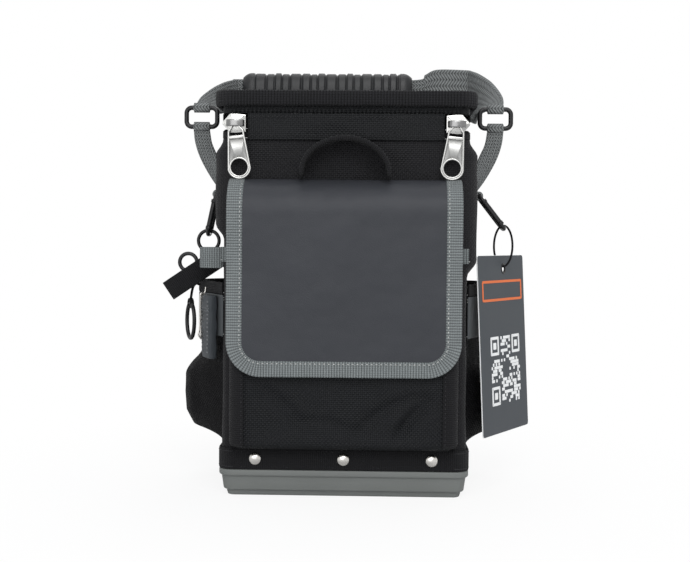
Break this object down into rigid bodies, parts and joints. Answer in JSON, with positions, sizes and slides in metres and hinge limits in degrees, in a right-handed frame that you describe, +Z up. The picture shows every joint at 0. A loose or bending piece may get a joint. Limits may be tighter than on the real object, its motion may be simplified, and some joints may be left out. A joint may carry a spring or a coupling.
{
  "type": "tool pouch",
  "caption": "Closed-top tool pouch with a moulded base, a zipped lid, a front flap over a pocket, side pockets, a folding carry handle and hanging hardware.",
  "frame": {"origin": "centre of the flat underside of the moulded base, where the pouch stands", "axes": "+Z up, -Y out of the front flap, +X to the right as seen from the front"},
  "size_m": [0.3136, 0.1864, 0.361],
  "materials": {
    "black_nylon": "coarse woven, matte",
    "pocket_nylon": "coarse woven, matte",
    "black_webbing": "ribbed tape, matte",
    "grey_webbing": "ribbed tape, matte",
    "handle_webbing": "coarse ribbed strap, matte",
    "grey_vinyl": "smooth coated cloth, satin",
    "base_plastic": "moulded, satin",
    "black_rubber": "moulded, matte",
    "black_metal": "black, satin",
    "nickel": "plated, polished",
    "zip_metal": "plated, satin",
    "steel": "brushed",
    "zip_coil": "moulded, satin",
    "tag_card": "coated card, matte",
    "string": "twisted cord, matte"
  },
  "bodies": {
    "shell": {"back_panel": "black_nylon", "base_tray": "base_plastic", "belt_clip": "steel", "body_zip": "zip_coil", "clip_backing": "grey_vinyl", "clip_screw_left": "nickel", "clip_screw_right": "nickel", "divider": "pocket_nylon", "flap_shoulder": "grey_vinyl", "front_panel": "black_nylon", "front_pocket": "pocket_nylon", "front_pocket_binding": "grey_webbing", "hanging_loop": "black_webbing", "hinge_strip": "black_nylon", "hook_patch": "black_nylon", "left_panel": "black_nylon", "left_pocket": "black_nylon", "left_pocket_binding": "black_webbing", "left_pocket_patch": "grey_vinyl", "left_strap_ring": "black_metal", "left_tab": "handle_webbing", "right_panel": "black_nylon", "right_pocket": "black_nylon", "right_pocket_binding": "black_webbing", "right_pocket_patch": "grey_vinyl", "right_strap_ring": "black_metal", "right_tab": "handle_webbing", "rivet_back_centre": "nickel", "rivet_back_left": "nickel", "rivet_back_right": "nickel", "rivet_front_centre": "nickel", "rivet_front_left": "nickel", "rivet_front_right": "nickel", "skirt_band": "black_webbing", "tape_mount": "grey_vinyl", "tape_plate": "steel", "tape_ring": "black_metal", "tape_strap": "black_webbing", "tool_loop_band": "grey_webbing", "tool_sleeve": "grey_vinyl"},
    "lid": {"lid_panel": "black_nylon", "lid_binding": "black_webbing", "lid_zip": "zip_coil", "lid_skirt": "black_nylon"},
    "front_flap": {"flap_panel": "grey_vinyl", "flap_binding": "grey_webbing", "flap_patch": "black_nylon"},
    "left_zip_slider": {"left_slider": "zip_metal"},
    "right_zip_slider": {"right_slider": "zip_metal"},
    "left_zip_pull": {"left_pull": "zip_metal"},
    "right_zip_pull": {"right_pull": "zip_metal"},
    "carry_handle": {"handle_webbing": "handle_webbing", "handle_grip": "black_rubber"},
    "right_snap_hook": {"right_hook": "black_metal"},
    "hang_tag": {"tag_string": "string", "tag_card": "tag_card"},
    "left_snap_hook": {"left_hook": "black_metal"},
    "hook_ring": {"small_ring": "black_metal"},
    "pocket_ring": {"key_ring": "black_metal"}
  },
  "joints": [
    {"name": "lid_hinge", "type": "hinge", "parent": "shell", "child": "lid", "pos_m": [0, -0.0695, 0.296], "axis": [1, 0, 0], "range_deg": [0, 100]},
    {"name": "flap_hinge", "type": "hinge", "parent": "shell", "child": "front_flap", "pos_m": [0, -0.0912, 0.2255], "axis": [1, 0, 0], "range_deg": [-150, 0]},
    {"name": "left_slider_travel", "type": "slide", "parent": "shell", "child": "left_zip_slider", "axis": [-1, 0, 0], "range_m": [0, 0.006]},
    {"name": "right_slider_travel", "type": "slide", "parent": "shell", "child": "right_zip_slider", "axis": [1, 0, 0], "range_m": [0, 0.006]},
    {"name": "left_pull_pivot", "type": "hinge", "parent": "left_zip_slider", "child": "left_zip_pull", "pos_m": [-0.08675, -0.0723, 0.296], "axis": [1, 0, 0], "range_deg": [-150, 0]},
    {"name": "right_pull_pivot", "type": "hinge", "parent": "right_zip_slider", "child": "right_zip_pull", "pos_m": [0.08675, -0.0723, 0.296], "axis": [1, 0, 0], "range_deg": [-150, 0]},
    {"name": "handle_pivot", "type": "hinge", "parent": "shell", "child": "carry_handle", "pos_m": [0, 0.003, 0.316], "axis": [1, 0, 0], "range_deg": [0, 120]},
    {"name": "right_hook_pivot", "type": "hinge", "parent": "shell", "child": "right_snap_hook", "pos_m": [0.1105, 0.003, 0.243], "axis": [0, -1, 0], "range_deg": [0, 40]},
    {"name": "tag_pivot", "type": "hinge", "parent": "right_snap_hook", "child": "hang_tag", "pos_m": [0.13205, 0.003, 0.21542], "axis": [0, -1, 0], "range_deg": [0, 60]},
    {"name": "left_hook_pivot", "type": "hinge", "parent": "shell", "child": "left_snap_hook", "pos_m": [-0.1105, 0.003, 0.243], "axis": [0, 1, 0], "range_deg": [0, 60]},
    {"name": "small_ring_pivot", "type": "hinge", "parent": "left_snap_hook", "child": "hook_ring", "pos_m": [-0.11778, 0.003, 0.20876], "axis": [0, 1, 0], "range_deg": [0, 60]},
    {"name": "key_ring_pivot", "type": "hinge", "parent": "shell", "child": "pocket_ring", "pos_m": [-0.1335, 0.006, 0.15], "axis": [-0.4695, 0.8829, 0], "range_deg": [0, 50]}
  ]
}
